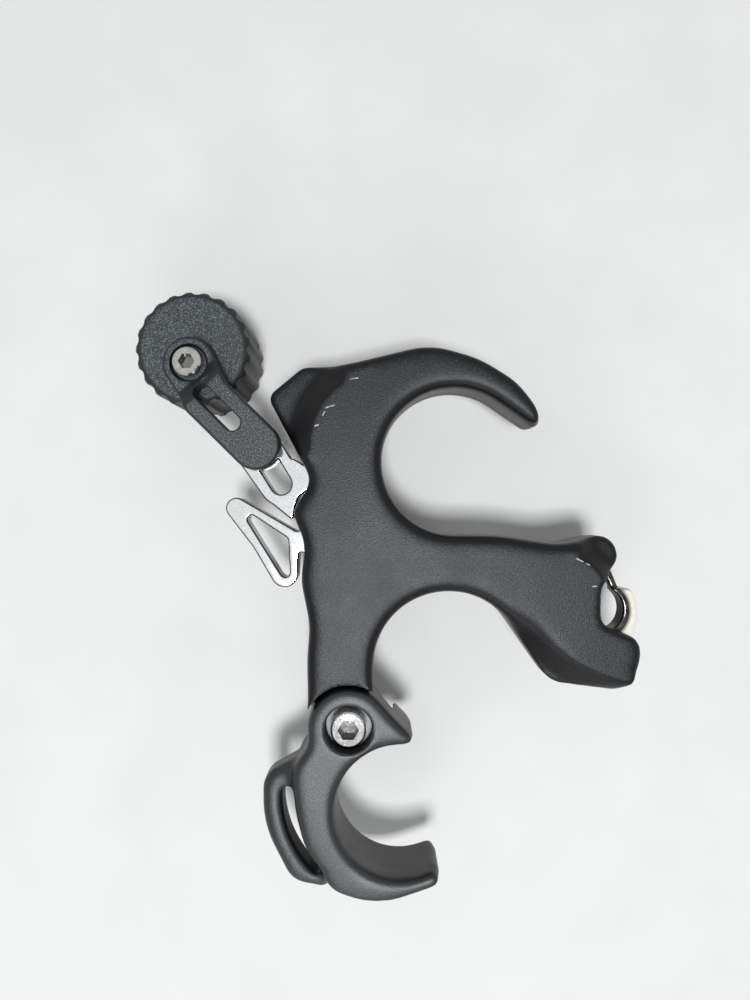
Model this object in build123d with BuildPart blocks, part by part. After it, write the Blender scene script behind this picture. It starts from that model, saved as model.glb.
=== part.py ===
from build123d import *

import math
import os

# Hand-held archery release: a flat handle with two finger openings, a head with a steel
# rope hook, a thumb barrel on a slotted arm, a cocking lever and a swivelling finger ring.
# X runs from the levers to the rope hook, Y up the handle, Z out of the front face.
# The origin lies on the flat back face, where the head arm meets the spine.

# ---------------------------------------------------------------- sizes, millimetres

handle_thickness = 13.4
handle_edge_round = 1.0
lever_thickness = 4.8
side_gap = 0.2  # between a lever's face and the pocket's floor or roof
running_gap = 0.03  # radial, round pins and screw shanks
moving_gap = 0.3  # between a moving piece's edge and its pocket

# finger openings of the handle
index_x, index_y, index_radius = 15.5, 9.0, 14.2
middle_x, middle_y, middle_radius = 14.2, -30.6, 14.5
corner_ease = 0.2  # keeps a short straight between two arcs of one opening

# rear cover and its fasteners
cover_end_y = -28.5
cover_seam = 0.12
cover_thread = 2.5
cover_head = 4.0
cover_head_depth = 1.3
cover_screw_length = 8.0
cover_socket = 1.5
dowel_diameter = 2.5
dowel_length = 7.0

# lever pins
pin_diameter = 3.0
pin_wall = 1.6  # metal left between a pin's end and the outside face

# places of the pins and pivots
trigger_x, trigger_y = -8.9, 4.9
cocking_x, cocking_y = -9.6, -6.2
sear_x, sear_y = 24.0, -11.5
hook_x, hook_y = 45.3, -28.6
ring_x, ring_y = -5.1, -42.4

# trigger lever, its slot starting at the end nearest the handle
trigger_boss_radius = 3.9
slot_x, slot_y = -18.4, 4.7
slot_angle = 121.7
slot_length = 9.0
slot_wall = 2.25
trigger_stroke = 6.0
trigger_finger_radius = 1.3
trigger_finger_dx, trigger_finger_dy = 9.4, -10.2

# cocking lever and its link
cocking_boss_radius = 3.4
cocking_stroke = 16.0
toe_radius = 1.4
toe_neck_radius = 1.0
toe_dx, toe_dy = 1.4, -6.0
link_wall = 1.3
link_bar_height = 1.6
link_bar_end = 18.9
link_foot = 2.7

# sear
sear_boss_radius = 3.2
sear_arm_radius = 1.0
sear_leg_radius = 1.2
sear_heel_radius = 0.8

# rope hook
hook_boss_radius = 3.6
hook_tail_radius = 7.4
hook_tail_width = 2.6
hook_stroke = 60.0
hook_nose_thickness = 2.6

# springs
spring_diameter = 2.6
spring_wire = 0.45
spring_turns = 5

# thumb barrel, its arm and screws
barrel_diameter = 23.2
barrel_length = 19.6
flute_count = 21
flute_radius = 1.4
flute_depth = 0.7
barrel_edge = 1.8
barrel_offset = 3.5
barrel_offset_angle = 93.0
barrel_washer_thickness = 0.4
arm_reach = 21.1
arm_angle = 129.5
arm_bend_reach = 13.7
arm_bend_angle = 135.3
arm_clamp_radius = 4.7
arm_pad_radius = 5.15
arm_edge_round = 0.6
arm_thickness = 4.1
pad_thickness = 3.2
pad_drop = 2.2
arm_flat_past_bend = 1.3
arm_slope_run = 2.8
arm_underside_before_bend = 0.5
arm_underside_run = 3.0
window_width = 3.1
window_from_clamp = 4.55
window_past_bend = 2.55
clamp_distance = 8.6
clamp_thread = 4.0
clamp_head = 6.4
clamp_head_height = 2.2
clamp_socket = 2.5
clamp_grip = 3.0
clamp_washer = 9.0
clamp_washer_thickness = 0.8
barrel_thread = 3.5
barrel_head = 5.5
barrel_head_height = 3.0
barrel_socket = 2.78
barrel_grip = 10.0
barrel_counterbore = 7.2
barrel_counterbore_depth = 1.4

# finger ring extension
ring_step = 0.2  # from the handle's front face in to the extension's
ring_back_reach = 3.6  # how far the extension stands out behind the handle's back
ring_edge_round = 1.0
ring_boss_radius = 8.0
ring_seam = 0.6
tongue_thickness = 4.8
tongue_radius = 7.4
opening_radius = 12.8
ring_hub_wall = 6.1
ring_lean = -57.7
ring_thread = 4.2
ring_head = 6.86
ring_head_height = 4.1
ring_socket = 3.57
ring_counterbore = 9.2
ring_counterbore_depth = 4.6
ring_washer_thickness = 0.4
insert_diameter = 6.4
insert_step = 0.2
loop_height = 7.4
loop_edge_round = 1.5
loop_slot_width = 2.3

# scooped horn, sloping upper lobe and bevelled heel on the front face
horn_scoop_depth = 3.2
horn_scoop_taper = 54
lobe_slope_depth = 3.0
lobe_slope_taper = 47
heel_bevel_depth = 4.0

# ---------------------------------------------------------------- levels, planes, places

mid_z = handle_thickness / 2
lever_bottom_z = mid_z - lever_thickness / 2
lever_top_z = mid_z + lever_thickness / 2
pocket_floor_z = lever_bottom_z - side_gap
pocket_roof_z = lever_top_z + side_gap
pocket_height = pocket_roof_z - pocket_floor_z
ring_bottom_z = -ring_back_reach
ring_top_z = handle_thickness - ring_step
ring_thickness = ring_top_z - ring_bottom_z
arm_top_z = lever_top_z + arm_thickness
pad_bottom_z = lever_top_z - pad_drop
pad_top_z = pad_bottom_z + pad_thickness
barrel_top_z = pad_bottom_z - barrel_washer_thickness
barrel_bottom_z = barrel_top_z - barrel_length
pin_radius = pin_diameter / 2
pin_bore_radius = pin_radius + running_gap
clamp_radius = clamp_thread / 2
slot_radius = clamp_radius + 0.05
slot_arm_radius = slot_radius + slot_wall
spring_radius = (spring_diameter - spring_wire) / 2
pin_places = {
    "trigger_pin": (trigger_x, trigger_y),
    "cocking_pin": (cocking_x, cocking_y),
    "sear_pin": (sear_x, sear_y),
    "hook_pin": (hook_x, hook_y),
}
cover_screw_places = [(-2.5, 20.5), (-6.5, -25.2), (31.5, -10.6), (39.6, -10.8), (35.9, -31.3)]
dowel_places = [(10.5, 26.8), (-6.5, -20.3)]


def polar(x, y, radius, angle):
    """The point at a radius and an angle in degrees from a centre."""
    turn = math.radians(angle)
    return (x + radius * math.cos(turn), y + radius * math.sin(turn))


def arc_corners(x, y, radius, start, end, count):
    """Corners of the open polygon whose sides touch a circle between two angles."""
    step = (end - start) / count
    reach = radius / math.cos(math.radians(step / 2))
    return [polar(x, y, reach, start + step * (i + 0.5)) for i in range(count)]


slot_start = (slot_x, slot_y)
slot_end = polar(slot_x, slot_y, slot_length, slot_angle)
clamp_x, clamp_y = polar(slot_x, slot_y, clamp_distance, slot_angle)
bend_x, bend_y = polar(clamp_x, clamp_y, arm_bend_reach, arm_bend_angle)
screw_x, screw_y = polar(clamp_x, clamp_y, arm_reach, arm_angle)
barrel_x, barrel_y = polar(screw_x, screw_y, barrel_offset, barrel_offset_angle)
trigger_finger = (trigger_x + trigger_finger_dx, trigger_y + trigger_finger_dy)
toe = (cocking_x + toe_dx, cocking_y + toe_dy)
toe_travel = abs(toe_dy) * math.sin(math.radians(cocking_stroke))
sear_end = (
    trigger_finger[0],
    trigger_finger[1] - trigger_finger_radius - moving_gap - sear_arm_radius,
)
sear_nose = polar(hook_x, hook_y, hook_tail_radius + moving_gap + sear_leg_radius, 157)
sear_heel = polar(sear_x, sear_y, 2.7, 219)


def capsule(start, end, radius):
    """A round-ended bar between two points."""
    middle = ((start[0] + end[0]) / 2, (start[1] + end[1]) / 2)
    length = math.dist(start, end)
    angle = math.degrees(math.atan2(end[1] - start[1], end[0] - start[0]))
    with Locations(middle):
        SlotCenterToCenter(length, 2 * radius, rotation=angle)


def disc(centre, radius, mode=Mode.ADD):
    """A circle about a point."""
    with Locations(centre):
        Circle(radius, mode=mode)


def rounded_triangle(discs, mode=Mode.ADD):
    """The tight outline round a few circles given as (x, y, radius)."""
    with BuildSketch(mode=Mode.PRIVATE) as tight:
        for x, y, radius in discs:
            disc((x, y), radius)
        make_hull()
    add(tight.sketch, mode=mode)


# ---------------------------------------------------------------- handle outline

# Each corner of the outline with the radius that rounds it, from the foot of the back
# edge, over the horn and the index hook, round the head, to the foot of the spine.
outline_corners = [
    ((-13.2, -29.5), 20),
    ((-12.6, -22.5), 15),
    ((-14.4, -14.0), 8),
    ((-13.5, -7.0), 6),
    ((-16.1, -0.6), 1.6),
    ((-12.2, 5.2), 3),
    ((-21.0, 21.7), 2.2),
    ((-14.1, 27.4), 3),
    ((-6.0, 27.6), 25),
    ((10.6, 31.6), 14),
    ((20.2, 28.9), 20),
    ((27.4, 24.4), 12),
    ((31.0, 19.8), 6),
    ((33.3, 13.8), 1.25),
]
for corner in arc_corners(index_x, index_y, index_radius, 56.8, 270, 3):
    outline_corners.append((corner, index_radius - corner_ease))
outline_corners += [
    ((24.0, index_y - index_radius), 30),
    ((35.5, -7.0), 12),
    ((47.2, -4.5), 3.8),
    ((47.2, -10.2), 2.4),
    ((43.2, -15.3), 4),
    ((43.2, -22.3), 2.6),
    ((51.2, -25.4), 3.6),
    ((51.2, -29.2), 6),
    ((48.65, -35.55), 4),
    ((34.1, -33.95), 6),
]
for corner in arc_corners(middle_x, middle_y, middle_radius, 34.8, 180, 2):
    outline_corners.append((corner, middle_radius - corner_ease))
outline_foot_y = ring_y + 2.4
foot_back = (-12.9, outline_foot_y)
foot_front = (middle_x - middle_radius, outline_foot_y)

with BuildSketch() as handle_profile:
    with BuildLine() as handle_edge:
        FilletPolyline(
            foot_back,
            *[corner for corner, _ in outline_corners],
            foot_front,
            radius=[radius for _, radius in outline_corners],
        )
        Line(foot_front, foot_back)
    make_face()

# ---------------------------------------------------------------- pocket for the levers

trigger_cavity = [(-26, 0.2), (-26, 14), (-14.2, 10.0), (trigger_x, 9.6), (trigger_x, 0.2)]
cocking_cavity = [(-26, -11.4), (-26, -2.2), (cocking_x, -2.2), (cocking_x, -11.4)]
edge_slot = [(-26, -18.2), (-26, 1), (-14.4, 1), (-14.4, -9), (-12.2, -9), (-12.2, -18.2)]
link_bar_y = toe[1] - toe_radius + link_bar_height / 2 - 0.3
channel_top_y = sear_end[1] + sear_arm_radius + 0.2
channel_floor_y = link_bar_y - link_bar_height / 2 - moving_gap
channel = [
    (-12.4, channel_floor_y),
    (-12.4, -9.3),
    (-3.0, -7.2),
    (-1.2, channel_top_y + 1.4),
    (5.0, channel_top_y + 0.8),
    (sear_x, sear_y + sear_arm_radius + 0.9),
    (sear_x, channel_floor_y),
]
foot_floor_y = channel_floor_y - link_foot
foot_end_x = toe[0] + toe_radius + link_wall + toe_travel + 2.9

with BuildSketch() as pocket_profile:
    with BuildLine():
        Polyline(*trigger_cavity, close=True)
    make_face()
    with BuildLine():
        Polyline(*cocking_cavity, close=True)
    make_face()
    with BuildLine():
        Polyline(*edge_slot, close=True)
    make_face()
    with BuildLine():
        Polyline(*channel, close=True)
    make_face()
    disc((trigger_x, trigger_y), trigger_boss_radius + moving_gap)
    disc((cocking_x, cocking_y), cocking_boss_radius + moving_gap)
    disc((sear_x, sear_y), sear_boss_radius + moving_gap)
    disc((hook_x, hook_y), hook_boss_radius + moving_gap)
    # room for the trigger's inner finger, which moves up and to the right
    capsule(
        (trigger_x, trigger_y),
        (trigger_finger[0] + 0.5, trigger_finger[1] + 0.5),
        trigger_finger_radius + 1.0,
    )
    # room for the sear's leg, which swings away from the hook's tail
    capsule((sear_x, sear_y), (sear_nose[0] - 0.25, sear_nose[1] - 0.25), sear_leg_radius + 0.65)
    # foot of the cocking link and the spring beside it
    with Locations(((foot_end_x - 12.4) / 2, (channel_floor_y + foot_floor_y) / 2)):
        Rectangle(foot_end_x + 12.4, link_foot + 0.2)

# The hook swings through the throat and out of the head's right side.
with BuildSketch() as hook_room:
    with BuildLine():
        Line((hook_x, hook_y), polar(hook_x, hook_y, 17.3, -45))
        ThreePointArc(
            polar(hook_x, hook_y, 17.3, -45),
            polar(hook_x, hook_y, 17.3, 30),
            polar(hook_x, hook_y, 17.3, 97.5),
        )
        Line(polar(hook_x, hook_y, 17.3, 97.5), (hook_x, hook_y))
    make_face()
    tail_room = hook_tail_radius + moving_gap
    with BuildLine():
        Line((hook_x, hook_y), polar(hook_x, hook_y, tail_room, 90))
        ThreePointArc(
            polar(hook_x, hook_y, tail_room, 90),
            polar(hook_x, hook_y, tail_room, 140),
            polar(hook_x, hook_y, tail_room, 202),
        )
        Line(polar(hook_x, hook_y, tail_room, 202), (hook_x, hook_y))
    make_face()

# ---------------------------------------------------------------- springs

trigger_spring_start = (-2.9, 0.6)
trigger_spring_angle = 43.5
trigger_spring_length = 3.8
cocking_spring_start = (toe[0] + toe_radius + link_wall + 0.2, foot_floor_y + 1.45)
cocking_spring_length = foot_end_x - cocking_spring_start[0] - 0.05
sear_spring_start = (6.0, sear_end[1] + 0.4)
sear_spring_length = 3.1


def coil_spring(start, angle, length):
    """A compression spring lying in the lever plane, starting at a point."""
    turn = math.radians(angle)
    along = Vector(math.cos(turn), math.sin(turn), 0)
    seat = Vector(start[0], start[1], mid_z) + along * (spring_wire / 2)
    pitch = (length - spring_wire) / spring_turns
    with BuildPart() as spring:
        with BuildLine() as path:
            Helix(pitch, length - spring_wire, spring_radius, center=seat, direction=along)
        with BuildSketch(Plane(origin=path.line @ 0, z_dir=path.line % 0)):
            Circle(spring_wire / 2)
        sweep(is_frenet=True)
    return spring.part


def spring_room(start, angle, length):
    """The recess round a spring, a little wider and longer than it."""
    end = polar(start[0], start[1], length, angle)
    middle = ((start[0] + end[0]) / 2, (start[1] + end[1]) / 2)
    with Locations(middle):
        Rectangle(length + 0.3, spring_diameter + 0.6, rotation=angle)


with BuildSketch() as spring_rooms:
    spring_room(trigger_spring_start, trigger_spring_angle, trigger_spring_length)
    spring_room(sear_spring_start, 90, sear_spring_length)

# ---------------------------------------------------------------- handle body

horn_x, horn_y, horn_radius = 2.0, 12.0, 14.4
lobe_x, lobe_y, lobe_radius = 37.5, -16.0, 6.4
heel_arc = [(30.5, -22.4), (37.8, -29.3), (49.5, -33.6)]

with BuildPart() as handle_body:
    with BuildSketch(Plane.XY.offset(pocket_floor_z)):
        add(handle_profile.sketch)
    extrude(amount=handle_thickness - pocket_floor_z)
    fillet(handle_body.edges().group_by(Axis.Z)[-1], handle_edge_round)
    # below the cover the spine's foot is full thickness
    with BuildSketch():
        add(handle_profile.sketch)
        with Locations((0, cover_end_y - 25)):
            Rectangle(40, 50, mode=Mode.INTERSECT)
    extrude(amount=pocket_floor_z)
    # round tongue that carries the finger ring
    with BuildSketch():
        disc((ring_x, ring_y), tongue_radius)
    extrude(amount=tongue_thickness)
    with BuildSketch(Plane.XY.offset(tongue_thickness)):
        disc((ring_x, ring_y), ring_boss_radius + ring_seam)
    extrude(amount=handle_thickness, mode=Mode.SUBTRACT)
    # scooped horn
    with BuildSketch(Plane.XY.offset(handle_thickness)):
        with BuildLine():
            inner = ThreePointArc(
                polar(horn_x, horn_y, horn_radius, 122),
                polar(horn_x, horn_y, horn_radius, 153),
                polar(horn_x, horn_y, horn_radius, 184),
            )
            Polyline(inner @ 1, (-30, horn_y - 8), (-30, 50), (-12, 50), inner @ 0)
        make_face()
    extrude(amount=-horn_scoop_depth, taper=horn_scoop_taper, mode=Mode.SUBTRACT)
    # sloping upper lobe
    with BuildSketch(Plane.XY.offset(handle_thickness)):
        with BuildLine():
            inner = ThreePointArc(
                polar(lobe_x, lobe_y, lobe_radius, 75),
                polar(lobe_x, lobe_y, lobe_radius, 40),
                polar(lobe_x, lobe_y, lobe_radius, 5),
            )
            Polyline(inner @ 1, (70, -14), (70, 12), (38, 12), inner @ 0)
        make_face()
    extrude(amount=-lobe_slope_depth, taper=lobe_slope_taper, mode=Mode.SUBTRACT)
    # bevelled heel
    with BuildSketch(Plane.XY.offset(handle_thickness)):
        with BuildLine():
            inner = ThreePointArc(*heel_arc)
            Polyline(inner @ 1, (70, -36), (70, -60), (22, -60), (22, -18), inner @ 0)
        make_face()
    extrude(amount=-heel_bevel_depth, taper=45, mode=Mode.SUBTRACT)
    # pockets for the levers, the hook and the springs
    with BuildSketch(Plane.XY.offset(pocket_floor_z)):
        add(pocket_profile.sketch)
        add(hook_room.sketch)
        add(spring_rooms.sketch)
    extrude(amount=pocket_height, mode=Mode.SUBTRACT)
    # blind bores for the lever pins
    with BuildSketch(Plane.XY.offset(pocket_floor_z)):
        for place in pin_places.values():
            disc(place, pin_bore_radius)
    extrude(amount=handle_thickness - pin_wall - pocket_floor_z, mode=Mode.SUBTRACT)
    # holes for the cover's screws and dowels
    with BuildSketch(Plane.XY.offset(pocket_floor_z)):
        for place in cover_screw_places:
            disc(place, cover_thread / 2 + running_gap)
        for place in dowel_places:
            disc(place, dowel_diameter / 2 + running_gap)
    extrude(amount=cover_screw_length + 0.8 - pocket_floor_z, mode=Mode.SUBTRACT)
    # bore for the threaded insert
    with BuildSketch():
        disc((ring_x, ring_y), insert_diameter / 2 + running_gap)
    extrude(amount=tongue_thickness, mode=Mode.SUBTRACT)

handle_body.part.label = "handle_body"

# ---------------------------------------------------------------- rear cover

with BuildPart() as rear_cover:
    with BuildSketch():
        add(offset(handle_profile.sketch, amount=-cover_seam, mode=Mode.PRIVATE))
    extrude(amount=pocket_floor_z)
    fillet(rear_cover.edges().group_by(Axis.Z)[0], handle_edge_round)
    with BuildSketch():
        with Locations((0, cover_end_y + cover_seam - 25)):
            Rectangle(40, 50)
    extrude(amount=pocket_floor_z, mode=Mode.SUBTRACT)
    with BuildSketch(Plane.XY.offset(pin_wall)):
        for place in pin_places.values():
            disc(place, pin_bore_radius)
        for place in dowel_places:
            disc(place, dowel_diameter / 2 + running_gap)
    extrude(amount=pocket_floor_z, mode=Mode.SUBTRACT)
    with BuildSketch():
        for place in cover_screw_places:
            disc(place, cover_thread / 2 + 0.1)
    extrude(amount=pocket_floor_z, mode=Mode.SUBTRACT)
    with BuildSketch():
        for place in cover_screw_places:
            disc(place, cover_head / 2 + 0.1)
    extrude(amount=cover_head_depth + 0.1, mode=Mode.SUBTRACT)

rear_cover.part.label = "rear_cover"

# ---------------------------------------------------------------- screws, dowels and pins


def cap_screw(place, seat_z, tip_z, shank, head, head_height, socket, edge):
    """A socket screw whose head sits at one level and whose shank ends at another."""
    outward = 1 if seat_z > tip_z else -1
    face_z = seat_z + outward * head_height
    with BuildPart() as screw:
        with BuildSketch(Plane.XY.offset(seat_z)):
            disc(place, shank / 2)
        extrude(amount=tip_z - seat_z)
        with BuildSketch(Plane.XY.offset(seat_z)):
            disc(place, head / 2)
        extrude(amount=outward * head_height)
        face = screw.faces().filter_by(Plane.XY).sort_by(Axis.Z)[-1 if outward > 0 else 0]
        chamfer(face.edges(), edge)
        with BuildSketch(Plane.XY.offset(face_z)):
            with Locations(place):
                RegularPolygon(socket / 2, 6, major_radius=False)
        extrude(amount=-outward * head_height * 0.6, mode=Mode.SUBTRACT)
    return screw.part


with BuildPart() as cover_screws:
    for place in cover_screw_places:
        add(
            cap_screw(
                place,
                cover_head_depth + 0.1,
                cover_screw_length + 0.1,
                cover_thread,
                cover_head,
                cover_head_depth,
                cover_socket,
                0.2,
            )
        )

cover_screws.part.label = "cover_screws"

with BuildPart() as dowel_pins:
    with BuildSketch(Plane.XY.offset(pin_wall + 0.1)):
        for place in dowel_places:
            disc(place, dowel_diameter / 2)
    extrude(amount=dowel_length)
    chamfer(dowel_pins.edges(), 0.2)

dowel_pins.part.label = "dowel_pins"


def lever_pin(place):
    """A plain pin held between the cover and the body."""
    with BuildPart() as pin:
        with BuildSketch(Plane.XY.offset(pin_wall + 0.05)):
            disc(place, pin_radius)
        extrude(amount=handle_thickness - 2 * pin_wall - 0.1)
        chamfer(pin.edges(), 0.2)
    return pin.part


with BuildPart() as trigger_pin:
    add(lever_pin(pin_places["trigger_pin"]))

trigger_pin.part.label = "trigger_pin"

with BuildPart() as cocking_pin:
    add(lever_pin(pin_places["cocking_pin"]))

cocking_pin.part.label = "cocking_pin"

with BuildPart() as sear_pin:
    add(lever_pin(pin_places["sear_pin"]))

sear_pin.part.label = "sear_pin"

with BuildPart() as hook_pin:
    add(lever_pin(pin_places["hook_pin"]))

hook_pin.part.label = "hook_pin"

# ---------------------------------------------------------------- trigger lever

trigger_web = [
    (-22.3, 3.2),
    (-21.6, 1.9),
    (-16.1, -2.5),
    (-15.6, 0.4),
    (-15.0, 2.1),
    (-13.4, 3.5),
    (-9.5, 1.4),
    (-9.5, 8.7),
    (-13.9, 8.5),
    (-15.3, 9.3),
    (-16.2, 9.8),
]

slot_shoulder = polar(*slot_end, 0.6, slot_angle + 90)

with BuildPart() as trigger_lever:
    with BuildSketch(Plane.XY.offset(lever_bottom_z)):
        capsule(slot_start, slot_end, slot_arm_radius)
        capsule(slot_start, slot_shoulder, slot_arm_radius)
        with BuildLine():
            FilletPolyline(*trigger_web, close=True, radius=0.4)
        make_face()
        disc((trigger_x, trigger_y), trigger_boss_radius)
        capsule((trigger_x, trigger_y), trigger_finger, trigger_finger_radius)
        with BuildSketch(mode=Mode.SUBTRACT):
            capsule(slot_start, slot_end, slot_radius)
        disc((trigger_x, trigger_y), pin_bore_radius, Mode.SUBTRACT)
    extrude(amount=lever_thickness)

trigger_lever.part.label = "trigger_lever"

# ---------------------------------------------------------------- cocking lever

cocking_tip = (-27.2, 0.0)
cocking_foot = (-17.75, -12.85)
cocking_root = (-15.6, -6.6)
cocking_waist = (-23.1, -7.25)
cocking_bar = (-16.0, -9.9)

with BuildPart() as cocking_lever:
    with BuildSketch(Plane.XY.offset(lever_bottom_z)):
        rounded_triangle([(*cocking_tip, 2.05), (*cocking_waist, 0.9), (*cocking_root, 1.9)])
        rounded_triangle([(*cocking_waist, 0.9), (*cocking_foot, 2.7), (*cocking_bar, 1.0)])
        capsule(cocking_bar, cocking_root, 1.0)
        rounded_triangle([(*cocking_root, 1.9), (cocking_x, cocking_y, cocking_boss_radius)])
        capsule((cocking_x, cocking_y), toe, toe_neck_radius)
        disc(toe, toe_radius)
        rounded_triangle([(-24.2, -2.2, 0.8), (-18.1, -6.6, 1.1), (-17.6, -12.6, 0.9)], Mode.SUBTRACT)
        disc((cocking_x, cocking_y), pin_bore_radius, Mode.SUBTRACT)
    extrude(amount=lever_thickness)

cocking_lever.part.label = "cocking_lever"

# ---------------------------------------------------------------- cocking link

link_left_x = toe[0] - toe_radius - 0.15 - link_wall
link_right_x = toe[0] + toe_radius + 0.15 + link_wall
link_foot_y = foot_floor_y + moving_gap
link_top_y = toe[1] + 0.8

with BuildPart() as cocking_link:
    with BuildSketch(Plane.XY.offset(lever_bottom_z)):
        with Locations(((link_left_x + link_right_x) / 2, (link_foot_y + link_top_y) / 2)):
            Rectangle(link_right_x - link_left_x, link_top_y - link_foot_y)
        with Locations(((link_right_x + link_bar_end) / 2, link_bar_y)):
            Rectangle(link_bar_end - link_right_x, link_bar_height)
        with Locations((toe[0], toe[1] - toe_radius - moving_gap + 5)):
            Rectangle(2 * toe_radius + 0.3, 10, mode=Mode.SUBTRACT)
    extrude(amount=lever_thickness)

cocking_link.part.label = "cocking_link"

# ---------------------------------------------------------------- sear

with BuildPart() as sear_lever:
    with BuildSketch(Plane.XY.offset(lever_bottom_z)):
        disc((sear_x, sear_y), sear_boss_radius)
        capsule((sear_x, sear_y), sear_end, sear_arm_radius)
        capsule((sear_x, sear_y), sear_nose, sear_leg_radius)
        disc(sear_heel, sear_heel_radius)
        disc((sear_x, sear_y), pin_bore_radius, Mode.SUBTRACT)
    extrude(amount=lever_thickness)

sear_lever.part.label = "sear_lever"

# ---------------------------------------------------------------- rope hook

hook_corners = [
    ((48.3, -28.6), 0.6),
    ((52.35, -21.4), 8.8),
    ((50.25, -15.6), 1.6),
    ((48.0, -15.75), 0.5),
    ((46.3, -11.7), 0.6),
    ((45.0, -12.3), 0.5),
    ((46.75, -16.2), 1.5),
    ((51.1, -20.2), 4.5),
    ((43.0, -26.6), 0.6),
]
hook_tail_angle = 176.0

with BuildPart() as rope_hook:
    with BuildSketch(Plane.XY.offset(lever_bottom_z)):
        with BuildLine():
            FilletPolyline(
                *[corner for corner, _ in hook_corners],
                close=True,
                radius=[radius for _, radius in hook_corners],
            )
        make_face()
        disc((hook_x, hook_y), hook_boss_radius)
        with Locations(polar(hook_x, hook_y, (hook_tail_radius - 0.1) / 2, hook_tail_angle)):
            Rectangle(hook_tail_radius - 0.1, hook_tail_width, rotation=hook_tail_angle)
        disc((hook_x, hook_y), pin_bore_radius, Mode.SUBTRACT)
    extrude(amount=lever_thickness)
    # the nose is thinner than the hook, the same on both faces
    nose_step = (lever_thickness - hook_nose_thickness) / 2
    for level in (lever_bottom_z, lever_top_z - nose_step):
        with BuildSketch(Plane.XY.offset(level)):
            with Locations((42.0, -11.8)):
                Rectangle(12.0, 7.9)
        extrude(amount=nose_step, mode=Mode.SUBTRACT)

rope_hook.part.label = "rope_hook"

# ---------------------------------------------------------------- springs

with BuildPart() as trigger_spring:
    add(coil_spring(trigger_spring_start, trigger_spring_angle, trigger_spring_length))

trigger_spring.part.label = "trigger_spring"

with BuildPart() as cocking_spring:
    add(coil_spring(cocking_spring_start, 0, cocking_spring_length))

cocking_spring.part.label = "cocking_spring"

with BuildPart() as sear_spring:
    add(coil_spring(sear_spring_start, 90, sear_spring_length))

sear_spring.part.label = "sear_spring"

# ---------------------------------------------------------------- barrel arm

bend_turn = math.radians(arm_bend_angle)
arm_side_plane = Plane(
    origin=(clamp_x, clamp_y, 0),
    x_dir=(math.cos(bend_turn), math.sin(bend_turn), 0),
    z_dir=(math.sin(bend_turn), -math.cos(bend_turn), 0),
)
underside_start = arm_bend_reach - arm_underside_before_bend
underside_end = underside_start + arm_underside_run
arm_flat_length = arm_bend_reach + arm_flat_past_bend
slope_end = arm_flat_length + arm_slope_run
window_end = arm_bend_reach + window_past_bend
# each corner of the arm seen from the side, with the radius that rounds it
arm_side = [
    ((-8, lever_top_z), 0.1),
    ((underside_start, lever_top_z), 1.0),
    ((underside_end, pad_bottom_z), 1.0),
    ((30, pad_bottom_z), 0.1),
    ((30, pad_top_z), 0.1),
    ((slope_end, pad_top_z), 1.0),
    ((arm_flat_length, arm_top_z), 2.0),
    ((-8, arm_top_z), 0.1),
]
seat_z = pad_top_z - barrel_counterbore_depth

with BuildPart() as barrel_arm:
    # in plan the arm bends where the sloping part begins
    with BuildSketch(Plane.XY.offset(pad_bottom_z - 1)):
        rounded_triangle([(clamp_x, clamp_y, arm_clamp_radius), (bend_x, bend_y, arm_clamp_radius)])
        rounded_triangle([(bend_x, bend_y, arm_clamp_radius), (screw_x, screw_y, arm_pad_radius)])
    extrude(amount=arm_top_z - pad_bottom_z + 2)
    with BuildSketch(arm_side_plane):
        with BuildLine():
            FilletPolyline(
                *[corner for corner, _ in arm_side],
                close=True,
                radius=[radius for _, radius in arm_side],
            )
        make_face()
    extrude(amount=14, both=True, mode=Mode.INTERSECT)
    level_arcs = barrel_arm.edges().filter_by(GeomType.CIRCLE).filter_by(Plane.XY)
    fillet(level_arcs.group_by(Axis.Z)[-1], arm_edge_round)
    # lightening window along the arm
    with BuildSketch(Plane.XY.offset(pad_bottom_z)):
        window_middle = (window_from_clamp + window_end) / 2
        with Locations(polar(clamp_x, clamp_y, window_middle, arm_bend_angle)):
            SlotOverall(window_end - window_from_clamp, window_width, rotation=arm_bend_angle)
    extrude(amount=20, mode=Mode.SUBTRACT)
    # blind thread for the clamp screw
    with BuildSketch(Plane.XY.offset(lever_top_z)):
        disc((clamp_x, clamp_y), clamp_radius + running_gap)
    extrude(amount=clamp_grip + 0.2, mode=Mode.SUBTRACT)
    # hole and counterbore for the barrel screw
    with BuildSketch(Plane.XY.offset(pad_bottom_z)):
        disc((screw_x, screw_y), barrel_thread / 2 + 0.1)
    extrude(amount=pad_thickness, mode=Mode.SUBTRACT)
    with BuildSketch(Plane.XY.offset(seat_z)):
        disc((screw_x, screw_y), barrel_counterbore / 2)
    extrude(amount=arm_top_z - seat_z, mode=Mode.SUBTRACT)

barrel_arm.part.label = "barrel_arm"

washer_bottom_z = lever_bottom_z - clamp_washer_thickness

with BuildPart() as arm_washer:
    with BuildSketch(Plane.XY.offset(washer_bottom_z)):
        disc((clamp_x, clamp_y), clamp_washer / 2)
        disc((clamp_x, clamp_y), clamp_radius + 0.1, Mode.SUBTRACT)
    extrude(amount=clamp_washer_thickness)

arm_washer.part.label = "arm_washer"

with BuildPart() as arm_clamp_screw:
    add(
        cap_screw(
            (clamp_x, clamp_y),
            washer_bottom_z,
            lever_top_z + clamp_grip,
            clamp_thread,
            clamp_head,
            clamp_head_height,
            clamp_socket,
            0.3,
        )
    )

arm_clamp_screw.part.label = "arm_clamp_screw"

# ---------------------------------------------------------------- thumb barrel

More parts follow.
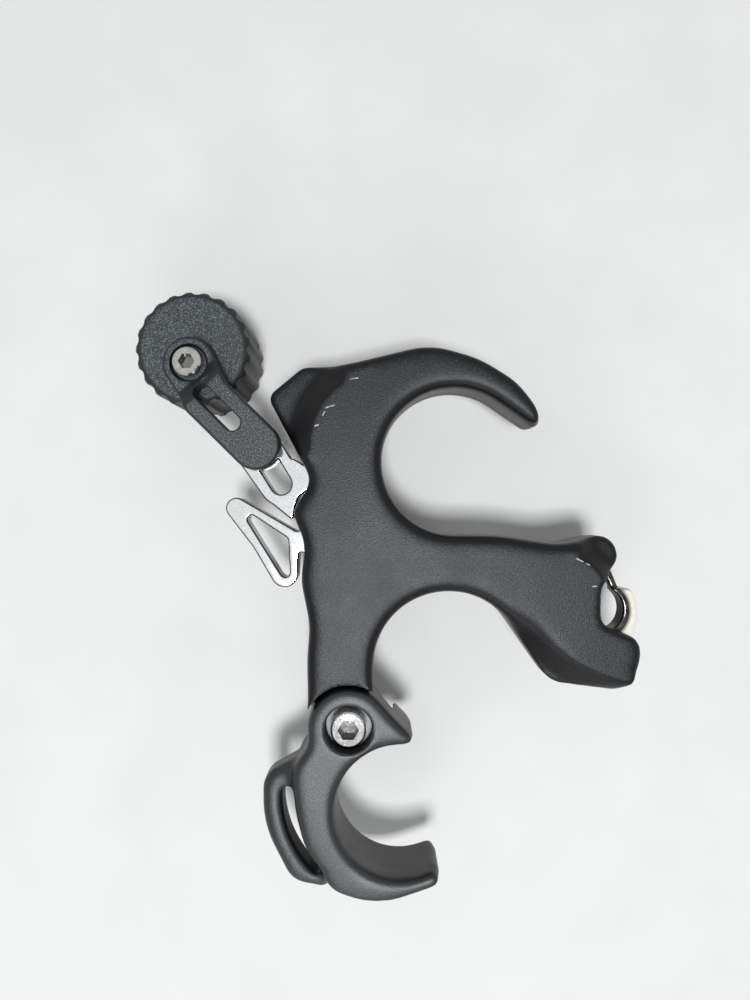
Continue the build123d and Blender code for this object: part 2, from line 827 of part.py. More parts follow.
with BuildPart() as thumb_barrel:
    with BuildSketch(Plane.XY.offset(barrel_bottom_z)):
        disc((barrel_x, barrel_y), barrel_diameter / 2)
    extrude(amount=barrel_length)
    fillet(thumb_barrel.edges().filter_by(GeomType.CIRCLE), barrel_edge)
    with BuildSketch(Plane.XY.offset(barrel_bottom_z)):
        with Locations((barrel_x, barrel_y)):
            with PolarLocations(barrel_diameter / 2 + flute_radius - flute_depth, flute_count):
                Circle(flute_radius)
    extrude(amount=barrel_length, mode=Mode.SUBTRACT)
    with BuildSketch(Plane.XY.offset(barrel_top_z)):
        disc((screw_x, screw_y), barrel_thread / 2 + running_gap)
    extrude(amount=-barrel_grip - 0.3, mode=Mode.SUBTRACT)

thumb_barrel.part.label = "thumb_barrel"

with BuildPart() as barrel_washer:
    with BuildSketch(Plane.XY.offset(barrel_top_z)):
        disc((screw_x, screw_y), barrel_counterbore / 2)
        disc((screw_x, screw_y), barrel_thread / 2 + 0.1, Mode.SUBTRACT)
    extrude(amount=barrel_washer_thickness)

barrel_washer.part.label = "barrel_washer"

with BuildPart() as barrel_screw:
    add(
        cap_screw(
            (screw_x, screw_y),
            seat_z,
            barrel_top_z - barrel_grip,
            barrel_thread,
            barrel_head,
            barrel_head_height,
            barrel_socket,
            0.35,
        )
    )

barrel_screw.part.label = "barrel_screw"

# ---------------------------------------------------------------- finger ring extension

opening_x, opening_y = polar(ring_x, ring_y, opening_radius + ring_hub_wall, ring_lean)


def round_opening(wall, angle):
    """A point that far outside the ring finger's opening, at an angle about its centre."""
    return polar(opening_x, opening_y, opening_radius + wall, angle)


# The outline leaves the round boss along its tangents, at the back and at the front.
boss_back = polar(ring_x, ring_y, ring_boss_radius, 190)
boss_top = polar(ring_x, ring_y, ring_boss_radius, 115)
boss_front = polar(ring_x, ring_y, ring_boss_radius, 40)
tip_angle = -64.0
ring_corners = [
    (polar(*boss_back, 1.8, 280), 3.6),
    (round_opening(10.0, 158.4), 6),
    (round_opening(7.6, 177.5), 20),
    (round_opening(7.1, 199.3), 12),
    (round_opening(7.4, 228.9), 5),
    (round_opening(5.95, 255.7), 16),
    (round_opening(3.15, 299.0), 1.6),
    (polar(*round_opening(0, tip_angle), 1.8, tip_angle + 90), 1.3),
]
for corner in arc_corners(opening_x, opening_y, opening_radius, tip_angle, -270, 3):
    ring_corners.append((corner, opening_radius - corner_ease))
ring_corners += [
    ((opening_x + 3.9, opening_y + opening_radius), 1.1),
    (polar(*boss_front, 2.9, -50), 10),
]
loop_corners = [
    (round_opening(8.3, 148.6), 1.8),
    (round_opening(14.8, 167.0), 4.5),
    (round_opening(14.3, 187.6), 20),
    (round_opening(12.9, 214.6), 5),
    (round_opening(8.0, 229.5), 1.8),
    (round_opening(1.2, 178.4), 1.8),
]

with BuildPart() as lanyard_loop:
    with BuildSketch(Plane.XY.offset(mid_z - loop_height / 2)):
        with BuildLine():
            FilletPolyline(
                *[corner for corner, _ in loop_corners],
                close=True,
                radius=[radius for _, radius in loop_corners],
            )
        make_face()
    extrude(amount=loop_height)
    fillet(lanyard_loop.edges().filter_by(Plane.XY), loop_edge_round)

with BuildPart() as finger_extension:
    with BuildSketch(Plane.XY.offset(ring_bottom_z)):
        with BuildLine():
            FilletPolyline(
                boss_back,
                *[corner for corner, _ in ring_corners],
                boss_front,
                radius=[radius for _, radius in ring_corners],
            )
            ThreePointArc(boss_front, boss_top, boss_back)
        make_face()
    extrude(amount=ring_thickness)
    fillet(finger_extension.edges().filter_by(Plane.XY), ring_edge_round)
    # clear of the handle's tongue at the back
    with BuildSketch(Plane.XY.offset(ring_bottom_z)):
        disc((ring_x, ring_y), ring_boss_radius + ring_seam + 0.3)
    extrude(amount=tongue_thickness - ring_bottom_z + 0.2, mode=Mode.SUBTRACT)
    add(lanyard_loop.part)
    with BuildSketch(Plane.XY.offset(ring_bottom_z)):
        with BuildLine() as slot_line:
            ThreePointArc(
                round_opening(9.3, 172.2),
                round_opening(8.4, 193.1),
                round_opening(7.2, 216.1),
            )
        SlotArc(slot_line.edge(), loop_slot_width)
    extrude(amount=ring_thickness, mode=Mode.SUBTRACT)
    # screw bore and the counterbore for its head
    with BuildSketch(Plane.XY.offset(ring_bottom_z)):
        disc((ring_x, ring_y), ring_thread / 2 + running_gap)
    extrude(amount=ring_thickness, mode=Mode.SUBTRACT)
    with BuildSketch(Plane.XY.offset(ring_top_z)):
        disc((ring_x, ring_y), ring_counterbore / 2)
    extrude(amount=-ring_counterbore_depth, mode=Mode.SUBTRACT)

finger_extension.part.label = "finger_extension"

ring_seat_z = ring_top_z - ring_counterbore_depth

with BuildPart() as extension_washer:
    with BuildSketch(Plane.XY.offset(ring_seat_z)):
        disc((ring_x, ring_y), ring_counterbore / 2 - 0.15)
        disc((ring_x, ring_y), ring_thread / 2 + 0.1, Mode.SUBTRACT)
    extrude(amount=ring_washer_thickness)

extension_washer.part.label = "extension_washer"

with BuildPart() as threaded_insert:
    with BuildSketch():
        disc((ring_x, ring_y), insert_diameter / 2)
        disc((ring_x, ring_y), ring_thread / 2 + running_gap, Mode.SUBTRACT)
    extrude(amount=tongue_thickness)

threaded_insert.part.label = "threaded_insert"

with BuildPart() as extension_screw:
    add(
        cap_screw(
            (ring_x, ring_y),
            ring_seat_z + ring_washer_thickness,
            insert_step + 0.1,
            ring_thread,
            ring_head,
            ring_head_height,
            ring_socket,
            0.4,
        )
    )

extension_screw.part.label = "extension_screw"

# ---------------------------------------------------------------- one file for each piece

os.makedirs("parts", exist_ok=True)
export_step(handle_body.part, "parts/handle_body.step")
export_step(rear_cover.part, "parts/rear_cover.step")
export_step(cover_screws.part, "parts/cover_screws.step")
export_step(dowel_pins.part, "parts/dowel_pins.step")
export_step(trigger_pin.part, "parts/trigger_pin.step")
export_step(cocking_pin.part, "parts/cocking_pin.step")
export_step(sear_pin.part, "parts/sear_pin.step")
export_step(hook_pin.part, "parts/hook_pin.step")
export_step(trigger_lever.part, "parts/trigger_lever.step")
export_step(cocking_lever.part, "parts/cocking_lever.step")
export_step(cocking_link.part, "parts/cocking_link.step")
export_step(sear_lever.part, "parts/sear_lever.step")
export_step(rope_hook.part, "parts/rope_hook.step")
export_step(trigger_spring.part, "parts/trigger_spring.step")
export_step(cocking_spring.part, "parts/cocking_spring.step")
export_step(sear_spring.part, "parts/sear_spring.step")
export_step(barrel_arm.part, "parts/barrel_arm.step")
export_step(arm_washer.part, "parts/arm_washer.step")
export_step(arm_clamp_screw.part, "parts/arm_clamp_screw.step")
export_step(thumb_barrel.part, "parts/thumb_barrel.step")
export_step(barrel_washer.part, "parts/barrel_washer.step")
export_step(barrel_screw.part, "parts/barrel_screw.step")
export_step(finger_extension.part, "parts/finger_extension.step")
export_step(extension_washer.part, "parts/extension_washer.step")
export_step(threaded_insert.part, "parts/threaded_insert.step")
export_step(extension_screw.part, "parts/extension_screw.step")
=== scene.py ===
import math

import bpy
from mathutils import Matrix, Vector


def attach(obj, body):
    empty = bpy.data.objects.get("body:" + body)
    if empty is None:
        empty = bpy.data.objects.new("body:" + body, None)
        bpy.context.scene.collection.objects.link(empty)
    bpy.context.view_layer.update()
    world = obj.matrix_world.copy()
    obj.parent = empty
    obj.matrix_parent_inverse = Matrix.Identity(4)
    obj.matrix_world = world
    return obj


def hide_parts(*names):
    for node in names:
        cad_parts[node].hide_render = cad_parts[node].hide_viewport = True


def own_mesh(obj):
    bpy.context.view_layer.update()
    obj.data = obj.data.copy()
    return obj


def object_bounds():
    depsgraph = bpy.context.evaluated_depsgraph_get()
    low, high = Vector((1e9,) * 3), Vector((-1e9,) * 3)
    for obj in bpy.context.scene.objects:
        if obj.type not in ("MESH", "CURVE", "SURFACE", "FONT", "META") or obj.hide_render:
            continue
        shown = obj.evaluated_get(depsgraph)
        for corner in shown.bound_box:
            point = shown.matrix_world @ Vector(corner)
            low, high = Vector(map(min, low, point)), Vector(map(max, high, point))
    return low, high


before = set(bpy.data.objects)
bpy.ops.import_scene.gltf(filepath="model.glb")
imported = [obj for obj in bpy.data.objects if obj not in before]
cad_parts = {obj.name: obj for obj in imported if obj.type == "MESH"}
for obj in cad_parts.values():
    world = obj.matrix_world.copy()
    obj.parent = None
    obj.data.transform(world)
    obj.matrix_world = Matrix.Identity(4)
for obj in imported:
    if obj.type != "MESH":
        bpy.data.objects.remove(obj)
cad_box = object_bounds()

MM = 0.001

# Places in plan and radii on the part, in millimetres from the row's origin.
ring_pivot = (-5.1, -42.4)
horn_centre = (2.0, 12.0)
horn_radius = 14.4
lobe_centre = (37.5, -16.0)
lobe_radius = 6.4
hook_pivot = (45.3, -28.6)
rope_space = (44.1, -20.1)
screw_axis = (-36.34, 28.30)
heel_centre = (59.1, 6.9)
heel_radius = 41.3
throat_centre = (46.5, -19.0)

# Levels, in millimetres: the lever plates' middle plane, the two levels between which the
# handle's rounding grows, above the levers' pocket, and the faces of the two screw heads.
lever_middle_z = 6.7
rounding_starts_z = 9.5
rounding_full_z = 11.4
barrel_screw_face_z = 11.7
extension_screw_face_z = 13.1

lever_half_thickness = 2.4

# Two faces that meet more sharply than this keep a crisp edge, in degrees.
crisp_angle = 50.0

# Points of a copied shape nearer than this are one point, in millimetres.
weld_distance = 0.002

# ---------------------------------------------------------------- making pieces


def only(piece):
    """Selects one object and makes it the active one."""
    bpy.ops.object.select_all(action="DESELECT")
    piece.select_set(True)
    bpy.context.view_layer.objects.active = piece


def apply_modifiers(piece):
    """Applies every modifier of a piece, in order."""
    only(piece)
    for modifier in list(piece.modifiers):
        bpy.ops.object.modifier_apply(modifier=modifier.name)


def copy_of(node, name):
    """A closed copy of a CAD node's shape, welded at its seams."""
    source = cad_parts[node]
    piece = bpy.data.objects.new(name, source.data.copy())
    bpy.context.scene.collection.objects.link(piece)
    only(piece)
    bpy.ops.object.mode_set(mode="EDIT")
    bpy.ops.mesh.select_all(action="SELECT")
    bpy.ops.mesh.remove_doubles(threshold=weld_distance * MM)
    bpy.ops.object.mode_set(mode="OBJECT")
    return piece


def smooth_shading(piece):
    """Shades a piece smoothly, except across its crisp edges."""
    only(piece)
    bpy.ops.object.shade_smooth_by_angle(angle=math.radians(crisp_angle))


def soften(piece, grid, passes, weight):
    """Remeshes a piece on a grid in millimetres, then rounds it where weight(x, y, z) is over 0."""
    remesh = piece.modifiers.new("even_grid", "REMESH")
    remesh.mode = "VOXEL"
    remesh.voxel_size = grid * MM
    apply_modifiers(piece)
    group = piece.vertex_groups.new(name="rounded")
    for vertex in piece.data.vertices:
        x, y, z = vertex.co / MM
        amount = min(max(weight(x, y, z), 0.0), 1.0)
        if amount > 0.0:
            group.add([vertex.index], amount, "REPLACE")
    smooth = piece.modifiers.new("rounding", "SMOOTH")
    smooth.factor = 0.5
    smooth.iterations = passes
    smooth.vertex_group = group.name
    apply_modifiers(piece)
    piece.vertex_groups.clear()
    smooth_shading(piece)


def ramp(value, low, high):
    """0 at low, 1 at high, straight between them."""
    return min(max((value - low) / (high - low), 0.0), 1.0)


def from_axis(x, y, axis):
    """Distance in plan from a vertical axis."""
    return math.hypot(x - axis[0], y - axis[1])


# ---------------------------------------------------------------- finishes

# How upright a surface stands, as its normal's Z: where the painted edge shade is full, where a
# face is level.
edge_upright = 0.955
level_upright = 0.9992

# Half widths of a scratch in millimetres: its bare core, and where it has faded out.
scratch_core = 0.07
scratch_rim = 0.16


class Finish:
    """A node material read from Object coordinates."""

    def __init__(self, name):
        self.material = bpy.data.materials.new(name)
        self.material.use_nodes = True
        self.nodes = self.material.node_tree.nodes
        self.links = self.material.node_tree.links
        self.shader = self.nodes["Principled BSDF"]
        places = self.nodes.new("ShaderNodeTexCoord")
        self.coordinates = places.outputs["Object"]
        self.normal = places.outputs["Normal"]

    def set(self, **sockets):
        """Sets the shader's own values; an underscore stands for a space in a socket's name."""
        for name, value in sockets.items():
            self.shader.inputs[name.replace("_", " ")].default_value = value

    def noise(self, size, detail=2.0, roughness=0.5):
        """Even noise whose blobs are about size millimetres across."""
        node = self.nodes.new("ShaderNodeTexNoise")
        node.inputs["Scale"].default_value = 1.0 / (size * MM)
        node.inputs["Detail"].default_value = detail
        node.inputs["Roughness"].default_value = roughness
        self.links.new(self.coordinates, node.inputs["Vector"])
        return node.outputs["Fac"]

    def stops(self, value, *stops):
        """A colour ramp given as (place, (r, g, b)) stops."""
        node = self.nodes.new("ShaderNodeValToRGB")
        elements = node.color_ramp.elements
        while len(elements) < len(stops):
            elements.new(0.5)
        for element, (place, colour) in zip(elements, stops):
            element.position = place
            element.color = (*colour, 1.0)
        self.links.new(value, node.inputs["Fac"])
        return node.outputs["Color"]

    def between(self, value, low, high, new_low, new_high):
        """Maps a range of values onto another, clamped."""
        node = self.nodes.new("ShaderNodeMapRange")
        ends = {"From Min": low, "From Max": high, "To Min": new_low, "To Max": new_high}
        for socket, number in ends.items():
            node.inputs[socket].default_value = number
        self.links.new(value, node.inputs["Value"])
        return node.outputs["Result"]

    def maths(self, operation, first, second=None):
        """One calculation on two values, or on one."""
        node = self.nodes.new("ShaderNodeMath")
        node.operation = operation
        for socket, value in zip(node.inputs, (first, second)):
            if value is None:
                continue
            if isinstance(value, (int, float)):
                socket.default_value = value
            else:
                self.links.new(value, socket)
        return node.outputs["Value"]

    def mix(self, amount, first, second):
        """Mixes two colours by a value."""
        node = self.nodes.new("ShaderNodeMix")
        node.data_type = "RGBA"
        self.links.new(amount, node.inputs["Factor"])
        for socket, value in ((node.inputs[6], first), (node.inputs[7], second)):
            if isinstance(value, tuple):
                socket.default_value = (*value, 1.0)
            else:
                self.links.new(value, socket)
        return node.outputs[2]

    def part_of(self, axis):
        """One coordinate, in metres."""
        node = self.nodes.new("ShaderNodeSeparateXYZ")
        self.links.new(self.coordinates, node.inputs[0])
        return node.outputs[axis]

    def plan_distance(self, centre):
        """Distance in plan from a vertical axis, in metres."""
        x = self.maths("SUBTRACT", self.part_of("X"), centre[0] * MM)
        y = self.maths("SUBTRACT", self.part_of("Y"), centre[1] * MM)
        square = self.maths("ADD", self.maths("MULTIPLY", x, x), self.maths("MULTIPLY", y, y))
        return self.maths("SQRT", square)

    def level(self):
        """1 where the surface lies level, falling to 0 on rounded edges and walls, where the
        finishes paint shade.
        """
        node = self.nodes.new("ShaderNodeSeparateXYZ")
        self.links.new(self.normal, node.inputs[0])
        upright = self.maths("ABSOLUTE", node.outputs["Z"])
        return self.between(upright, edge_upright, level_upright, 0.0, 1.0)

    def scratch(self, place, turn, length):
        """1 on a thin line in plan: its middle, its direction in degrees, its length.

        It fades out over the last tenth at each end.
        """
        along_x, along_y = math.cos(math.radians(turn)), math.sin(math.radians(turn))
        x = self.maths("SUBTRACT", self.part_of("X"), place[0] * MM)
        y = self.maths("SUBTRACT", self.part_of("Y"), place[1] * MM)
        along = self.maths(
            "ADD", self.maths("MULTIPLY", x, along_x), self.maths("MULTIPLY", y, along_y)
        )
        across = self.maths(
            "SUBTRACT", self.maths("MULTIPLY", x, along_y), self.maths("MULTIPLY", y, along_x)
        )
        from_middle = self.maths("ABSOLUTE", along)
        from_line = self.maths("ABSOLUTE", across)
        inside = self.between(from_middle, length * 0.4 * MM, length * 0.5 * MM, 1.0, 0.0)
        core, rim = scratch_core * MM, scratch_rim * MM
        on_line = self.between(from_line, core, rim, 1.0, 0.0)
        return self.maths("MULTIPLY", inside, on_line)

    def bump(self, height, strength, depth):
        """Raises the surface by a height map, depth in millimetres."""
        node = self.nodes.new("ShaderNodeBump")
        node.inputs["Strength"].default_value = strength
        node.inputs["Distance"].default_value = depth * MM
        self.links.new(height, node.inputs["Height"])
        self.links.new(node.outputs["Normal"], self.shader.inputs["Normal"])

    def colour(self, socket):
        """Takes the surface's colour from a socket."""
        self.links.new(socket, self.shader.inputs["Base Color"])

    def roughness(self, noise, smoothest, roughest):
        """Lets the roughness wander between two values with a noise."""
        wander = self.between(noise, 0.3, 0.7, smoothest, roughest)
        self.links.new(wander, self.shader.inputs["Roughness"])


# Each scratch in the handle's finish: the middle in plan, the direction and the length.
scratches = [
    ((-4.0, 24.6), 8.0, 1.8),
    ((-8.6, 19.3), 18.0, 2.2),
    ((-9.75, 17.95), 60.0, 0.9),
    ((-11.1, 15.7), 15.0, 0.9),
    ((38.9, -9.9), -28.0, 1.7),
    ((40.4, -10.7), -20.0, 1.0),
    ((41.7, -14.9), 4.0, 1.0),
]


def blasted_black():
    """Bead-blasted, black anodised aluminium with a cool sheen, a few bare scratches and painted
    shade on its rounded edges and walls.
    """
    finish = Finish("blasted_black")
    finish.set(Specular_IOR_Level=0.21)
    grain = finish.noise(0.32, detail=3.0, roughness=0.7)
    flat = finish.stops(
        grain,
        (0.36, (0.004, 0.006, 0.008)),
        (0.52, (0.011, 0.014, 0.017)),
        (0.68, (0.036, 0.042, 0.048)),
    )
    # painted shade: rounded edges and walls, where the surface is not level, take a near-black
    # colour in place of the grain
    base = finish.mix(finish.level(), (0.003, 0.003, 0.004), flat)
    # bare metal shows in short, broken scratches beside the two machined edges
    worn = None
    for place, turn, length in scratches:
        mark = finish.scratch(place, turn, length)
        worn = mark if worn is None else finish.maths("MAXIMUM", worn, mark)
    high = finish.between(finish.part_of("Z"), 11.6 * MM, 12.2 * MM, 0.0, 1.0)
    broken = finish.between(finish.noise(0.45, detail=2.0), 0.42, 0.52, 0.25, 1.0)
    worn = finish.maths("MULTIPLY", finish.maths("MULTIPLY", worn, high), broken)
    finish.colour(finish.mix(worn, base, (0.50, 0.50, 0.47)))
    finish.roughness(finish.noise(9.0, detail=3.0), 0.31, 0.38)
    finish.bump(grain, 0.7, 0.08)
    return finish.material


def sparkling_black():
    """Coarser black anodising whose grains catch the light, with painted shade on its rounded edges
    and walls.
    """
    finish = Finish("sparkling_black")
    finish.set(Specular_IOR_Level=0.34)
    grain = finish.noise(0.3, detail=4.0, roughness=0.75)
    flat = finish.stops(
        grain,
        (0.38, (0.006, 0.008, 0.010)),
        (0.52, (0.024, 0.030, 0.034)),
        (0.62, (0.15, 0.165, 0.178)),
    )
    # painted shade: rounded edges and walls, where the surface is not level, take a near-black
    # colour in place of the grain
    finish.colour(finish.mix(finish.level(), (0.008, 0.009, 0.010), flat))
    finish.roughness(finish.noise(7.0), 0.42, 0.55)
    finish.bump(grain, 0.8, 0.08)
    return finish.material


def satin_graphite():
    """Satin graphite anodising, lighter than the handle's black, with painted shade on its rounded
    edges and walls.
    """
    finish = Finish("satin_graphite")
    finish.set(Specular_IOR_Level=0.48)
    grain = finish.noise(0.28, detail=3.0, roughness=0.7)
    flat = finish.stops(
        grain,
        (0.36, (0.014, 0.018, 0.022)),
        (0.52, (0.032, 0.038, 0.044)),
        (0.68, (0.085, 0.095, 0.102)),
    )
    # painted shade: rounded edges and walls, where the surface is not level, take a near-black
    # colour in place of the grain
    finish.colour(finish.mix(finish.level(), (0.006, 0.007, 0.008), flat))
    finish.roughness(finish.noise(8.0, detail=3.0), 0.34, 0.44)
    finish.bump(grain, 0.6, 0.08)
    return finish.material


def silver_faces():
    """Bright brushed faces of the lever plates, with painted shade on their side walls."""
    finish = Finish("silver_faces")
    finish.set(Metallic=1.0)
    brushed = finish.noise(0.3, detail=4.0, roughness=0.7)
    bright = finish.stops(brushed, (0.35, (0.66, 0.68, 0.70)), (0.65, (0.84, 0.86, 0.88)))
    # painted shade: the plates' side walls take a near-black colour, the faces keep the steel's own
    painted_wall_shade = finish.stops(brushed, (0.3, (0.05, 0.05, 0.052)), (0.7, (0.10, 0.10, 0.105)))
    above_middle = finish.maths("SUBTRACT", finish.part_of("Z"), lever_middle_z * MM)
    off_middle = finish.maths("ABSOLUTE", above_middle)
    wall_ends, face_starts = lever_half_thickness - 0.035, lever_half_thickness - 0.01
    face = finish.between(off_middle, wall_ends * MM, face_starts * MM, 0.0, 1.0)
    finish.colour(finish.mix(face, painted_wall_shade, bright))
    finish.roughness(brushed, 0.06, 0.1)
    finish.bump(brushed, 0.08, 0.02)
    return finish.material


def polished_steel():
    """Mirror-polished hook with faint tumbling marks, painted with a warm bright reflection outside
    and painted shade inside.
    """
    finish = Finish("polished_steel")
    finish.set(Metallic=1.0)
    marks = finish.noise(1.6, detail=3.0)
    # the bright steel carries a painted warm reflection; the near-black steel is painted shade
    bright = finish.stops(marks, (0.3, (0.85, 0.825, 0.73)), (0.7, (0.91, 0.89, 0.81)))
    claw_painted_shade = finish.stops(marks, (0.3, (0.025, 0.024, 0.022)), (0.7, (0.07, 0.066, 0.06)))
    # painted light: the claw's outside is painted a bright cream reflection up to its nose, its
    # inside painted dark as shade
    outer = finish.between(finish.plan_distance(rope_space), 5.6 * MM, 6.3 * MM, 0.0, 1.0)
    below_nose = finish.between(finish.part_of("Y"), -16.4 * MM, -15.4 * MM, 1.0, 0.0)
    finish.colour(finish.mix(finish.maths("MULTIPLY", outer, below_nose), claw_painted_shade, bright))
    finish.roughness(marks, 0.1, 0.18)
    finish.bump(marks, 0.03, 0.02)
    return finish.material


# Distance between two turning marks on a screw's head, in millimetres.
turning_pitch = 0.18


def turned_stainless(name, axis, face_level, socket_radius):
    """Stainless screw with fine turning rings about its own axis and painted shade in its socket.
    """
    finish = Finish(name)
    finish.set(Metallic=1.0)
    from_middle = finish.plan_distance(axis)
    turns = finish.maths("MULTIPLY", from_middle, 2 * math.pi / (turning_pitch * MM))
    rings = finish.maths("SINE", turns)
    specks = finish.noise(0.5, detail=3.0)
    steel = finish.stops(specks, (0.3, (0.38, 0.38, 0.375)), (0.7, (0.50, 0.495, 0.485)))
    # painted shade: the socket's walls are painted dark, its floor a little less
    depth = finish.maths("SUBTRACT", face_level * MM, finish.part_of("Z"))
    below = finish.maths(
        "MULTIPLY",
        finish.between(depth, 0.05 * MM, 0.3 * MM, 0.0, 1.0),
        finish.between(depth, 1.6 * MM, 1.75 * MM, 1.0, 0.6),
    )
    socket_rim = (socket_radius + 0.1) * MM
    within = finish.between(from_middle, socket_radius * MM, socket_rim, 1.0, 0.0)
    finish.colour(finish.mix(finish.maths("MULTIPLY", below, within), steel, (0.035, 0.035, 0.036)))
    finish.roughness(specks, 0.05, 0.09)
    finish.bump(rings, 0.04, 0.012)
    return finish.material


def black_oxide():
    """Blackened steel of the washers and hidden screws."""
    finish = Finish("black_oxide")
    finish.set(Metallic=0.8)
    specks = finish.noise(0.6, detail=3.0)
    finish.colour(finish.stops(specks, (0.3, (0.03, 0.03, 0.032)), (0.7, (0.07, 0.07, 0.074))))
    finish.roughness(specks, 0.3, 0.42)
    finish.bump(specks, 0.1, 0.02)
    return finish.material


def ground_steel():
    """Ground steel of the pins, the sear, the link and the springs."""
    finish = Finish("ground_steel")
    finish.set(Metallic=1.0)
    specks = finish.noise(0.4, detail=4.0, roughness=0.65)
    finish.colour(finish.stops(specks, (0.3, (0.42, 0.42, 0.42)), (0.7, (0.58, 0.58, 0.575))))
    finish.roughness(specks, 0.26, 0.38)
    finish.bump(specks, 0.12, 0.02)
    return finish.material


def pale_table():
    """Plain pale floor, faintly uneven."""
    finish = Finish("pale_table")
    finish.set(Roughness=0.75)
    blotch = finish.noise(25.0, detail=3.0)
    finish.colour(finish.stops(blotch, (0.3, (0.66, 0.65, 0.635)), (0.7, (0.70, 0.69, 0.675))))
    return finish.material


def finish_node(node, material):
    """Gives a CAD node its finish through its object's material slots."""
    for material_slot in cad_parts[node].material_slots:
        material_slot.link = "OBJECT"
        material_slot.material = material


def finish_piece(piece, material, body, slot_name, *nodes):
    """Gives a made piece its finish, its body and the CAD nodes it stands for."""
    piece.data.materials.clear()
    piece.data.materials.append(material)
    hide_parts(*nodes)
    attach(piece, body)


# ---------------------------------------------------------------- handle

black = blasted_black()
sparkling = sparkling_black()
graphite = satin_graphite()
silver = silver_faces()
polished = polished_steel()
oxide = black_oxide()
ground = ground_steel()


# Distances from a machined edge at which the rounding starts, and at which it is full.
edge_band = (0.5, 2.6)


def at_least(share, amount):
    """An amount from 0 to 1 that never falls under a share."""
    return share + (1.0 - share) * amount


def handle_weight(x, y, z):
    """Full rounding of the front, little at the machined edges, none on walls and pockets."""
    off_swivel = from_axis(x, y, ring_pivot)
    amount = ramp(z, rounding_starts_z, rounding_full_z) * ramp(off_swivel, 8.9, 10.0)
    off_horn_edge = abs(from_axis(x, y, horn_centre) - horn_radius)
    if x < 0.0 and y > 9.0:
        amount *= at_least(0.04, ramp(off_horn_edge, *edge_band))
    off_lobe_edge = abs(from_axis(x, y, lobe_centre) - lobe_radius)
    if y > -18.0 and x > 37.0:
        amount *= at_least(0.03, ramp(off_lobe_edge, *edge_band))
    off_heel_edge = abs(from_axis(x, y, heel_centre) - heel_radius)
    along_heel = ramp(x, 32.0, 38.0) * ramp(y, -20.0, -24.0)
    amount *= 1.0 - 0.9 * along_heel * ramp(off_heel_edge, 2.4, 0.4)
    off_throat = from_axis(x, y, throat_centre)
    return amount * at_least(0.12, ramp(off_throat, 6.5, 10.5))


handle = copy_of("handle_body", "soft_handle")
soften(handle, 0.4, 110, handle_weight)
finish_piece(handle, black, "handle", "body_black", "handle_body")


def cover_weight(x, y, z):
    """Rounds the back edges, not the parting face."""
    return ramp(z, 3.0, 1.6)


cover = copy_of("rear_cover", "soft_cover")
soften(cover, 0.42, 12, cover_weight)
finish_piece(cover, black, "handle", "body_black", "rear_cover")

# ---------------------------------------------------------------- finger extension


def extension_weight(x, y, z):
    """Rounds both faces, but keeps the screw's counterbore and the pivot crisp."""
    near_face = max(ramp(z, 8.9, 11.3), ramp(z, 0.4, -1.4))
    loop_face = ramp(x, -10.5, -12.5) * ramp(abs(z - lever_middle_z), 2.2, 3.2)
    return max(near_face, loop_face) * ramp(from_axis(x, y, ring_pivot), 5.0, 6.6)


extension = copy_of("finger_extension", "soft_extension")
soften(extension, 0.38, 80, extension_weight)
finish_piece(extension, graphite, "extension", "ring_graphite", "finger_extension")

# ---------------------------------------------------------------- arm and barrel


def everywhere(x, y, z):
    """Rounds the whole of a piece alike."""
    return 1.0


arm = copy_of("barrel_arm", "soft_arm")
soften(arm, 0.18, 8, everywhere)
finish_piece(arm, sparkling, "arm", "arm_black", "barrel_arm")

barrel = copy_of("thumb_barrel", "soft_barrel")
soften(barrel, 0.2, 5, everywhere)
finish_piece(barrel, sparkling, "barrel", "arm_black", "thumb_barrel")

# ---------------------------------------------------------------- rope hook


def hook_weight(x, y, z):
    """Rounds the claw, not the hinge boss."""
    return ramp(from_axis(x, y, hook_pivot), 4.2, 6.0)


hook = copy_of("rope_hook", "soft_hook")
soften(hook, 0.14, 40, hook_weight)
finish_piece(hook, polished, "hook", "hook_polish", "rope_hook")

# ---------------------------------------------------------------- lever plates


def lever_weight(x, y, z):
    """Breaks the plates' edges outside the handle, not the hinge bores inside it."""
    return ramp(x, -11.0, -13.0)


trigger = copy_of("trigger_lever", "soft_trigger")
soften(trigger, 0.15, 14, lever_weight)
finish_piece(trigger, silver, "trigger", "lever_silver", "trigger_lever")

cocking = copy_of("cocking_lever", "soft_cocking")
soften(cocking, 0.15, 14, lever_weight)
finish_piece(cocking, silver, "cocking", "lever_silver", "cocking_lever")

# ---------------------------------------------------------------- springs


def squeezed_spring(node):
    """A copy of a spring, shaded smoothly and finished in ground steel.
    """
    coil = copy_of(node, node.replace("spring", "coil"))
    smooth_shading(coil)
    finish_piece(coil, ground, "handle", "steel", node)
    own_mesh(coil)


squeezed_spring("trigger_spring")
squeezed_spring("sear_spring")
squeezed_spring("cocking_spring")

# ---------------------------------------------------------------- nodes kept as they are

finish_node(
    "barrel_screw",
    turned_stainless("turned_barrel_screw", screw_axis, barrel_screw_face_z, 1.7),
)
finish_node(
    "extension_screw",
    turned_stainless("turned_extension_screw", ring_pivot, extension_screw_face_z, 2.15),
)
for node in ("cover_screws", "arm_clamp_screw", "barrel_washer", "extension_washer"):
    finish_node(node, oxide)
for node in (
    "arm_washer",
    "dowel_pins",
    "trigger_pin",
    "cocking_pin",
    "sear_pin",
    "hook_pin",
    "cocking_link",
    "sear_lever",
    "threaded_insert",
):
    finish_node(node, ground)

# ---------------------------------------------------------------- floor, light, camera

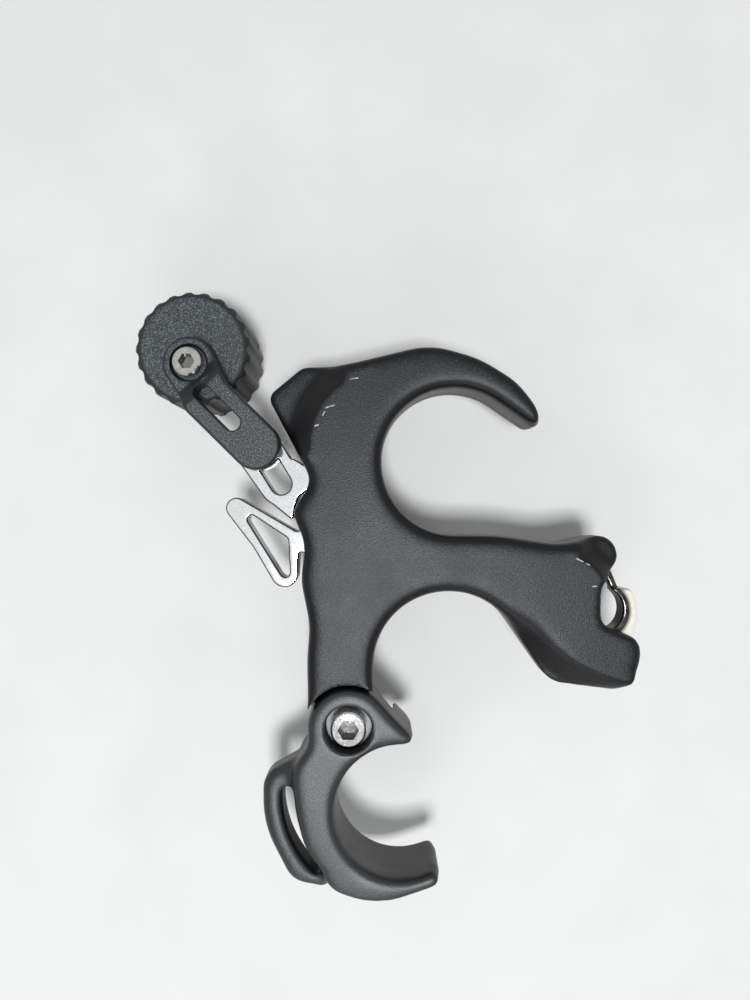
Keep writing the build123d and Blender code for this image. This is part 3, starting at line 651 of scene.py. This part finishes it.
# The floor is a square, its side in metres, its gap below the part in millimetres.
floor_size = 3.0
floor_gap = 0.2
floor_level = cad_box[0].z - floor_gap * MM
bpy.ops.object.select_all(action="DESELECT")
bpy.ops.mesh.primitive_plane_add(size=floor_size, location=(0, 0, floor_level))
floor = bpy.context.active_object
floor.name = "floor"
bpy.ops.object.transform_apply(location=True, rotation=True, scale=True)
floor.data.materials.append(pale_table())

lamp_colour = (0.96, 0.98, 1.0)
lit_point = (0, -20, 0)


def soft_lamp(name, place, size, power):
    """A square area lamp aimed at the part; place and size in millimetres, power in watts."""
    bpy.ops.object.light_add(type="AREA", location=Vector(place) * MM)
    lamp = bpy.context.active_object
    lamp.name = name
    lamp.data.shape = "SQUARE"
    lamp.data.size = size * MM
    lamp.data.energy = power
    lamp.data.color = lamp_colour
    lamp.rotation_mode = "QUATERNION"
    lamp.rotation_quaternion = (Vector(lit_point) - Vector(place)).to_track_quat("-Z", "Y")


soft_lamp("key_lamp", (7, -168, 910), 165, 7.6)
soft_lamp("low_lamp", (-170, -900, 560), 520, 2.4)

# The room lights the part softly; a pale backdrop is what is seen, mirrored or seen through.
world = bpy.data.worlds.new("pale_room")
bpy.context.scene.world = world
world.use_nodes = True
nodes = world.node_tree.nodes
links = world.node_tree.links
nodes.clear()
room = nodes.new("ShaderNodeBackground")
room.inputs["Color"].default_value = (0.93, 0.96, 1.0, 1.0)
room.inputs["Strength"].default_value = 0.34
backdrop = nodes.new("ShaderNodeBackground")
backdrop.inputs["Color"].default_value = (0.93, 0.93, 0.92, 1.0)
backdrop.inputs["Strength"].default_value = 1.0
ray = nodes.new("ShaderNodeLightPath")
seen_or_mirrored = nodes.new("ShaderNodeMath")
seen_or_mirrored.operation = "MAXIMUM"
links.new(ray.outputs["Is Camera Ray"], seen_or_mirrored.inputs[0])
links.new(ray.outputs["Is Glossy Ray"], seen_or_mirrored.inputs[1])
seen_at_all = nodes.new("ShaderNodeMath")
seen_at_all.operation = "MAXIMUM"
links.new(seen_or_mirrored.outputs[0], seen_at_all.inputs[0])
links.new(ray.outputs["Is Transmission Ray"], seen_at_all.inputs[1])
choose = nodes.new("ShaderNodeMixShader")
links.new(seen_at_all.outputs[0], choose.inputs["Fac"])
links.new(room.outputs[0], choose.inputs[1])
links.new(backdrop.outputs[0], choose.inputs[2])
output = nodes.new("ShaderNodeOutputWorld")
links.new(choose.outputs[0], output.inputs["Surface"])

# The camera looks straight down; its lens is given as a share of the picture's width.
camera_height = 156.3
sensor_width = 36.0
lens_share = 0.752
camera_data = bpy.data.cameras.new("camera")
camera = bpy.data.objects.new("camera", camera_data)
bpy.context.scene.collection.objects.link(camera)
camera.location = (0.0, 0.0, camera_height * MM)
camera_data.sensor_width = sensor_width
camera_data.lens = sensor_width * lens_share
camera_data.shift_y = 0.008
camera_data.clip_start = 0.005
bpy.context.scene.camera = camera

bpy.context.scene.view_settings.view_transform = "Standard"
